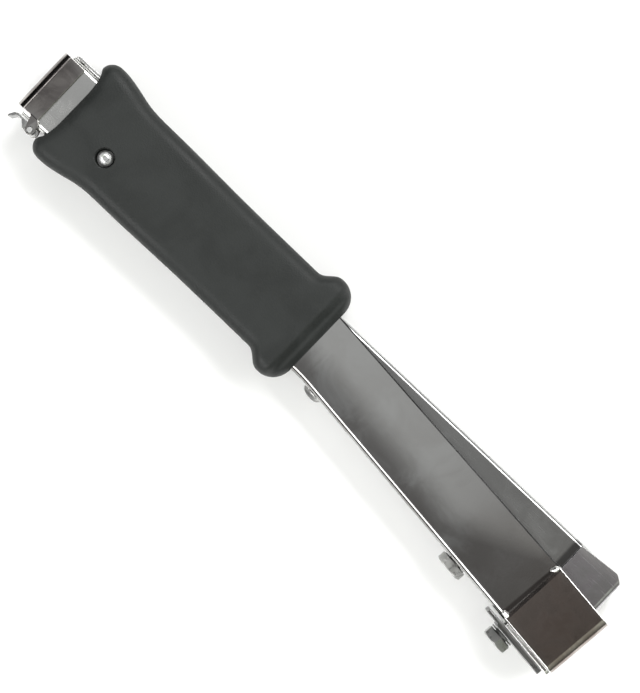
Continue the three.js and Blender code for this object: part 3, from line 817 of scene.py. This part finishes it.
def clamp_plate():
    seat, thick, thin = -1.6, 2.6, 1.7
    profile = [(-8, seat), (24.9, seat), (24.9, seat - thick), (-1, seat - thick),
               (-1.6, seat - thin), (-8, seat - thin)]
    rings = [[(x, y, z) for x, y in profile] for z in (-8, 8)]
    plate = piece(
        "clamp_plate_bar", skin(rings), HEAD, clamp_zinc, "frame",
        ["clamp_plate"], ease=0.4,
    )
    cut(plate, [lathe([(BOLT_HOLE, -9), (BOLT_HOLE, 2)], 32, "y", (BOLT_AT, 0))], HEAD)


back_plate()
clamp_plate()

# ---------------------------------------------------------------- head bolt and its washer
# A quarter-inch hexagon bolt, zinc plated, with a turned chamfer on its head and a rolled
# thread, on a split spring washer.

zinc = metal(
    "bolt_zinc", (0.17, 0.17, 0.165), (0.06, 0.06, 0.06), 0.24, 0.4, cloud=190.0, rub=0.5,
)
BOLT_FLATS = 11.1
BOLT_RADIUS = 3.175
BOLT_SEAT = -5.6
THREAD_PITCH = 1.27


def hex_bolt(at_x, seat, tip, turn):
    """Head with a chamfered hexagon and a washer face, shank and thread, along -Y."""
    per_side = 8
    top = seat - 4.2
    collar, washer_face = 5.4, 5.3
    chamfer = BOLT_FLATS / 2 - 0.35
    count = 6 * per_side
    turns = [turn + 60 * k / per_side for k in range(count)]

    def reach(k):
        off = radians((turns[k] - turn) % 60 - 30)
        return BOLT_FLATS / 2 / cos(off)

    def ring(radius_of, height_of):
        return [
            (at_x + radius_of(k) * sin(radians(turns[k])), height_of(k),
             radius_of(k) * cos(radians(turns[k])))
            for k in range(count)
        ]

    slope = tan(radians(28))
    rings = [
        ring(lambda k: 3.6, lambda k: top + 0.25),
        ring(lambda k: 4.1, lambda k: top),
        ring(lambda k: chamfer, lambda k: top),
        ring(reach, lambda k: top + (reach(k) - chamfer) * slope),
        ring(reach, lambda k: seat - 0.35 - 0.1 * (reach(k) - chamfer)),
        ring(lambda k: min(reach(k), collar), lambda k: seat - 0.3),
        ring(lambda k: washer_face, lambda k: seat),
        ring(lambda k: BOLT_RADIUS, lambda k: seat),
        ring(lambda k: BOLT_RADIUS, lambda k: seat + 3),
    ]
    along = seat + 3
    while along < tip - 0.9:
        for share, depth in ((0.25, 0.0), (0.5, 0.5), (0.75, 0.0)):
            rings.append(
                ring(lambda k: BOLT_RADIUS - depth, lambda k: along + share * THREAD_PITCH))
        along += THREAD_PITCH
    rings.append(ring(lambda k: BOLT_RADIUS - 0.6, lambda k: tip))
    return skin(rings)


piece("head_bolt_hexagon", hex_bolt(BOLT_AT, BOLT_SEAT, 9.2, 0), HEAD, zinc, "frame",
      ["head_bolt"], angle=24)


def split_washer():
    """A square-section ring with a narrow split, whose ends stand a little apart."""
    rings = []
    steps, spring_apart = 40, 0.16
    for k in range(steps + 1):
        t = radians(86) + radians(352) * k / steps
        lift = spring_apart * (k / steps - 0.5)
        rings.append([
            (BOLT_AT + radius * sin(t), y + lift, radius * cos(t))
            for radius, y in ((3.7, -5.2), (5.6, -5.2), (5.6, -4.55), (3.7, -4.55))
        ])
    return skin(rings)


piece("lock_washer_split", split_washer(), HEAD, zinc, "frame", ["lock_washer"],
      ease=0.08)

# ---------------------------------------------------------------- pivot pin and collar
# The magazine hangs on a 5 mm pin through the frame. Its domed head, with a centre mark,
# shows down the round hole in the grip, and a collar is rolled on at the other side.

pin_steel = metal("pin_steel", (0.74, 0.75, 0.74), (0.52, 0.52, 0.52), 0.3, 0.44, cloud=260.0)
piece(
    "pivot_pin_domed",
    lathe([(1.6, -11.5), (2.2, -11.4), (2.5, -11.1), (2.5, 9.3), (3.2, 9.3), (3.4, 9.5),
           (3.4, 11.3), (3.3, 11.47), (3.0, 11.62), (2.5, 11.8), (2.0, 11.95), (1.7, 11.94),
           (1.4, 11.75), (1.0, 11.6), (0.3, 11.7)],
          40, "z", PIVOT_FROM_BUTT[:2]),
    TOOL, pin_steel, "frame", ["pivot_pin"],
)
collar_profile = [(PIN_HOLE, -11.1), (3.0, -11.3), (3.55, -11.3), (3.8, -11.05), (3.8, -9.5),
                  (3.6, -9.3), (PIN_HOLE, -9.3)]


def turned_ring(profile, steps, axis, at):
    """A turned piece with a hole, from a profile that closes on itself."""
    points, faces = lathe(profile + profile[:1], steps, axis, at)
    return points, faces[:-2]


piece("pivot_collar_rolled", turned_ring(collar_profile, 36, "z", PIVOT_FROM_BUTT[:2]), TOOL,
      pin_steel, "frame", ["pivot_collar"])

# ---------------------------------------------------------------- return leaf and its rivet
# A strip of blued spring steel under the web pushes the magazine out. It is riveted in
# front of the grip, and its free end is drawn bowed down to the magazine, in one shape.


def bow(first, pull, last, steps):
    """Points on a curve from first to last that leans towards pull, without first."""
    return [
        tuple(first * (1 - t) ** 2 + pull * 2 * t * (1 - t) + last * t * t)
        for t in (k / steps for k in range(1, steps + 1))
    ]


def return_leaf():
    """A flat run under the web, a bow down to the magazine and a turned-up end."""
    under_web, thick, half = 1.85, 0.9, 6.4
    start, flat_end = 163.5, 180
    line = [(x, web_at(x) + under_web) for x in
            (start + (flat_end - start) * k / 4 for k in range(5))]
    held, free, end = Vector(line[-1]), Vector((224, -3.5)), Vector((229, -3.9))
    line += bow(held, Vector((204, web_at(204) + under_web + 0.5)), free, 14)
    line += bow(free, Vector((226.5, -2.5)), end, 6)
    rings = [[(x, y, -half), (x, y, half), (x, y + thick, half), (x, y + thick, -half)]
             for x, y in line]
    leaf = piece("return_leaf_strip", skin(rings), TOOL, blued_steel, None,
                 ["return_leaf"], ease=0.12)
    return leaf, held, free


leaf, leaf_held, leaf_free = return_leaf()
leaf.modifiers.clear()
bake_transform(leaf)

piece(
    "leaf_rivet_domed",
    lathe([(0.3, -2.5), (1.6, -2.42), (2.9, -2.1), (3.9, -1.5), (4.5, -0.8), (4.7, -0.35),
           (2.0, -0.3), (2.0, 3.0), (3.4, 3.0), (3.2, 3.7), (2.4, 4.3), (0.3, 4.5)],
          40, "y", (LEAF_RIVET_AT, 0)),
    HEAD, zinc, "frame", ["leaf_rivet"],
)

# ---------------------------------------------------------------- magazine and core rail
# The staple track: a straight channel of 1 mm steel with its floor towards the work, and
# ears for the pivot. The staples straddle the folded rail inside it.

track = Vector(joint["feeder_slide"]["axis"]) * -1
MAGAZINE = drawn_from(pivot, Vector((1, 0)).angle_signed(track.to_2d()) * -1)
magazine_plate = metal(
    "magazine_nickel", (0.44, 0.445, 0.44), (0.30, 0.30, 0.30), 0.2, 0.28, cloud=60.0,
    ripple=0.12,
)
FLOOR = 19.15
WALL_TOP = 1.15
TRACK_END = 265.3
NOSE_REAR = 250.3
# Painted shade on the magazine, in front of the nose shell's rear edge.
paint_shade_before_step(magazine_plate, MAGAZINE, NOSE_REAR, 4.0, (0.17, 0.17, 0.17))


def magazine_channel():
    ear_top = -4.5
    outline = ((-32, WALL_TOP), (-15, WALL_TOP), (-11, ear_top), (11, ear_top), (15, WALL_TOP),
               (60, WALL_TOP), (130, WALL_TOP), (200, WALL_TOP), (TRACK_END, WALL_TOP))
    web = [(x, FLOOR) for x, _ in outline]
    channel = piece(
        "magazine_channel_sheet", folded(web, outline, 6.8, 1, 1.7, 0.25), MAGAZINE,
        magazine_plate, "magazine", ["magazine_channel"], ease=0.2,
    )
    cut(channel, [lathe([(PIN_HOLE, -20), (PIN_HOLE, 20)], 32, "z")], MAGAZINE)


magazine_channel()
RAIL_TOP, RAIL_FOOT = 10.95, 17.75
piece(
    "core_rail_fold",
    folded([(-30, RAIL_TOP), (TRACK_END, RAIL_TOP)], [(-30, RAIL_FOOT), (TRACK_END, RAIL_FOOT)],
           4, 1, 1.4, 0.25),
    MAGAZINE, magazine_plate, "magazine", ["core_rail"], ease=0.15,
)

# ---------------------------------------------------------------- tail bracket and heel strip
# A box of folded sheet joins the rear of the track. The latch looks into its window, and a
# riveted strip with a turned lip stiffens its lower face.


HEEL_RIVET_AT = (-34.6, 0)
RIVET_HOLE = 1.7


def tail_bracket():
    back, strike, half, sheet = -10.1, 21.9, 8.3, 1.2
    middle, high = (back + strike) / 2, (strike - back) / 2
    rings = []
    for x, inset, radius in (
        (-38, 0.25, 2.3), (-37.8, 0, 2.5), (-18.2, 0, 2.5), (-18, 0.25, 2.3),
        (-18, sheet - 0.2, 1.5), (-18.2, sheet, 1.3), (-37.8, sheet, 1.3), (-38, sheet - 0.2, 1.5),
    ):
        rings.append(rounded_ring(x, x, middle, high - inset, half - inset, radius))
    box = piece("tail_bracket_box", skin(rings, joined=True), MAGAZINE, magazine_plate,
                "magazine", ["tail_bracket"])
    window = [[(x, y, z) for x, z in rounded_plan(-36.6, -33.4, 4.4, 0.8)] for y in (-12, -8)]
    cut(box, [skin(window)], MAGAZINE)
    cut(box, [lathe([(RIVET_HOLE, 19), (RIVET_HOLE, 23)], 24, "y", HEEL_RIVET_AT)], MAGAZINE)


def heel_strip():
    seat, thick = 22.2, 1.4
    profile = [(-23.8, seat), (-23.8, seat + thick), (-36.4, seat + thick), (-37.8, seat)]
    rings = [[(x, y, z) for x, y in profile] for z in (-7, 7)]
    strip = piece("heel_strip_bar", skin(rings), MAGAZINE, bright_plate, "magazine",
                  ["heel_strip"], ease=0.25)
    cut(strip, [lathe([(RIVET_HOLE, 19), (RIVET_HOLE, 26)], 24, "y", HEEL_RIVET_AT)], MAGAZINE)
    piece("heel_rivet_flush",
          lathe([(0.3, 18.7), (1.6, 18.75), (2.2, 19.1), (2.2, 20.4), (1.4, 20.4), (1.4, 23.4),
                 (1.2, 23.55), (0.3, 23.6)], 28, "y", HEEL_RIVET_AT),
          MAGAZINE, zinc, "magazine", ["heel_rivet"])


tail_bracket()
heel_strip()

# ---------------------------------------------------------------- nose
# The front of the track is wrapped by a folded shell with a chamfered corner, which meets
# the work. A hardened plate inside it guides the blade.


nose_plate = metal(
    "nose_nickel", (0.56, 0.56, 0.57), (0.34, 0.32, 0.34), 0.2, 0.27, cloud=70.0, ripple=0.12,
    grain=0.1,
)


def soften(thing, ease):
    """Rounds the sharp edges that a cut left."""
    eased = thing.modifiers.new("eased_edges", "BEVEL")
    eased.width = ease * MM
    eased.segments = 2
    eased.limit_method = "ANGLE"
    eased.angle_limit = radians(60)
    settle(thing)


def nose_shell():
    """A folded sheet a little too tall, trimmed to the slanted outline of the nose."""
    front, low, tall, steps = 272.9, -1, 24, 6
    web = [(front, low + tall * k / steps) for k in range(steps + 1)]
    mouth = [(NOSE_REAR, low + tall * k / steps) for k in range(steps + 1)]
    shell = piece("nose_shell_fold", folded(web, mouth, 8.4, 1.2, 2.3, 0.35), MAGAZINE,
                  nose_plate, "magazine", ["nose_shell"])
    trim = [(249, 0.3), (274, 0.3), (274, 16.5), (272.7, 17.4), (269.1, 19.9), (268.2, 20.05),
            (253.2, 18.65), (249, 18.2)]
    cut(shell, [skin([[(x, y, z) for x, y in trim] for z in (-12, 12)])], MAGAZINE, keep=True)
    soften(shell, 0.22)


nose_shell()
dress("nose_guide", milled_steel, 0.15)

# ---------------------------------------------------------------- stop bridge and stop bolt
# A bridge across the walls of the track holds the bolt that limits the swing. The bolt's
# head bears on the web, and it slides out through the web as the head closes.

dress("stop_bridge", milled_steel, 0.3)
piece("stop_bolt_hexagon", hex_bolt(STOP_AT, -0.3, 23.8, 30), HEAD, zinc, "magazine",
      ["stop_bolt"], angle=24)
piece("pivot_bush_turned",
      turned_ring([(PIN_HOLE, -5.5), (3.3, -5.5), (3.5, -5.3), (3.5, 5.3), (3.3, 5.5),
                   (PIN_HOLE, 5.5)], 36, "z", (0, 0)),
      MAGAZINE, milled_steel, "magazine", ["pivot_bush"])

# ---------------------------------------------------------------- feeder
# The cap at the butt carries the block and the rod that the pusher slides on. A long coil
# spring round the rod pushes the pusher forward.

cap_plate = metal(
    "cap_nickel", (0.36, 0.335, 0.32), (0.18, 0.165, 0.16), 0.14, 0.22, cloud=90.0, ripple=0.2,
)
CAP_HALF = 9.8
CAP_SHEET = 1.2
CAP_FRONT = -30.7
LATCH_PIN = (CAP_FRONT, -12.6)
ROD_Y = 6.55


def feed_cap():
    rear, low, tall, steps = -42, -8, 28.6, 6
    heights = [low + tall * k / steps for k in range(steps + 1)]
    web = [(rear, y) for y in heights]
    mouth = [(CAP_FRONT, y) for y in heights]
    piece("feed_cap_fold", folded(web, mouth, CAP_HALF, CAP_SHEET, 4, 0.4), MAGAZINE, cap_plate,
          "feeder", ["feed_cap"], ease=0.3)
    x, y = LATCH_PIN
    ear = (
        arc(x, y, 2.2, 180, 360, 12)
        + [(x + 1.2, -8.6), (x - 0.3, -7.2), (x - 4.6, -7.2), (x - 3.6, -8.6)]
    )
    for side in (1, -1):
        rings = [[(a, b, side * z) for a, b in ear] for z in (CAP_HALF - CAP_SHEET, CAP_HALF)]
        cheek = piece(f"cap_ear_{'upper' if side > 0 else 'under'}", skin(rings), MAGAZINE,
                      cap_plate, "feeder", ease=0.2)
        cut(cheek, [lathe([(1.5, -20), (1.5, 20)], 24, "z", LATCH_PIN)], MAGAZINE)


def coil(start, end, turns, radius, wire, at, axis="x", sides=8, per_turn=18):
    """A wire wound round X at height at[1], or round Z at the point at, with closed ends."""
    rings = []
    total = int(turns * per_turn)
    closing = 0.08
    for k in range(total + 1):
        t = 2 * pi * k / per_turn
        share = k / total
        dense = 0.5 - 0.5 * cos(pi * share)
        along = start + (end - start) * ((1 - closing) * share + closing * dense)
        pitch = (end - start) / turns / (2 * pi)
        radial = Vector((0, cos(t), sin(t)))
        course = Vector((pitch, -radius * sin(t), radius * cos(t))).normalized()
        other = course.cross(radial)
        centre = Vector((along, 0, 0)) + radial * radius
        ring = []
        for n in range(sides):
            a = 2 * pi * n / sides
            point = centre + (radial * cos(a) + other * sin(a)) * wire
            if axis == "x":
                ring.append((point.x, at[1] + point.y, point.z))
            else:
                ring.append((at[0] + point.y, at[1] + point.z, point.x))
        rings.append(ring)
    return skin(rings)


feed_cap()
dress("rod_block", milled_steel, 0.3)
piece("feed_rod_drawn",
      lathe([(0.5, -39.8), (0.9, -39.7), (1.1, -39.4), (1.1, 259.6), (0.9, 259.9), (0.5, 260)],
            20, "x", (0, ROD_Y)),
      MAGAZINE, pin_steel, "feeder", ["feed_rod"])
piece("rod_tip_peened",
      lathe([(1.4, 260.3), (2.0, 260.35), (2.2, 260.6), (2.2, 262.2), (1.7, 262.7), (0.4, 262.8)],
            24, "x", (0, ROD_Y)),
      MAGAZINE, pin_steel, "feeder", ["rod_tip"])
spring_start, spring_end = -33, 245.5
spring_wire = 0.33
feed_spring = piece(
    "feed_spring_coil",
    coil(spring_start + 0.4, spring_end - 0.4, 74, 1.83, spring_wire, (0, ROD_Y), sides=6,
         per_turn=14),
    MAGAZINE, blued_steel, "feeder", ["feed_spring"], angle=80,
)
feed_spring.modifiers.clear()
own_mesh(feed_spring)

# ---------------------------------------------------------------- pusher
# A saddle of milled steel that rides on the core rail behind the staples, with a lug that
# the rod passes through.

dress("pusher", milled_steel, 0.2)

# ---------------------------------------------------------------- latch
# A thumb lever of bent sheet on a pin across the cap's ears, held down by a small coil
# spring. Its end is curled and its lip raised for the thumb.

latch_plate = metal(
    "latch_nickel", (0.5, 0.5, 0.49), (0.26, 0.26, 0.26), 0.18, 0.3, cloud=150.0,
)


def rectangle(x0, y0, x1, y1):
    return [(x0, y0), (x1, y0), (x1, y1), (x0, y1)]


def latch_lever():
    """The lever, cut away beside its curl so that it clears the cap's ears."""
    x = LATCH_PIN[0]
    under = [(x, -10.6), (-39.4, -10.6), (-40.6, -11.6), (-41.4, -12.9), (-42, -14.1)]
    over = [(-41.6, -14.7), (-41.0, -14.6), (-40.4, -13.5), (-39.6, -12.4), (-38.6, -11.8),
            (-36.6, -11.8), (-34.9, -13.3), (-33.9, -14.45), (-33.1, -14.5), (-32.9, -13.2),
            (-32.75, -12.1), (x, -11.9)]
    rings = [[(a, b, z) for a, b in under + over] for z in (-6.5, 6.5)]
    lever = piece("latch_lever_sheet", skin(rings), MAGAZINE, latch_plate, "latch",
                  ["latch_lever"], ease=0.2)
    room = [[(a, b, side * z) for a, b in rectangle(x - 2.6, -18, x + 3, -8)]
            for side in (1, -1) for z in (5.5, 8)]
    cut(lever, [skin(room[:2]), skin(room[2:])], MAGAZINE)
    piece("latch_barrel", turned_ring([(1.5, -5.5), (1.95, -5.5), (2.1, -5.35), (2.1, 5.35),
                                       (1.95, 5.5), (1.5, 5.5)], 32, "z", LATCH_PIN),
          MAGAZINE, latch_plate, "latch")


latch_lever()
piece("latch_pin_drawn",
      lathe([(0.6, -10.2), (1.0, -10.15), (1.2, -9.95), (1.2, 9.95), (1.0, 10.15), (0.6, 10.2)],
            24, "z", LATCH_PIN),
      MAGAZINE, pin_steel, "feeder", ["latch_pin"])
piece("latch_spring_coil", coil(5.95, 8.1, 3.6, 1.75, 0.22, LATCH_PIN, axis="z"), MAGAZINE,
      blued_steel, "latch", ["latch_spring"], angle=80)
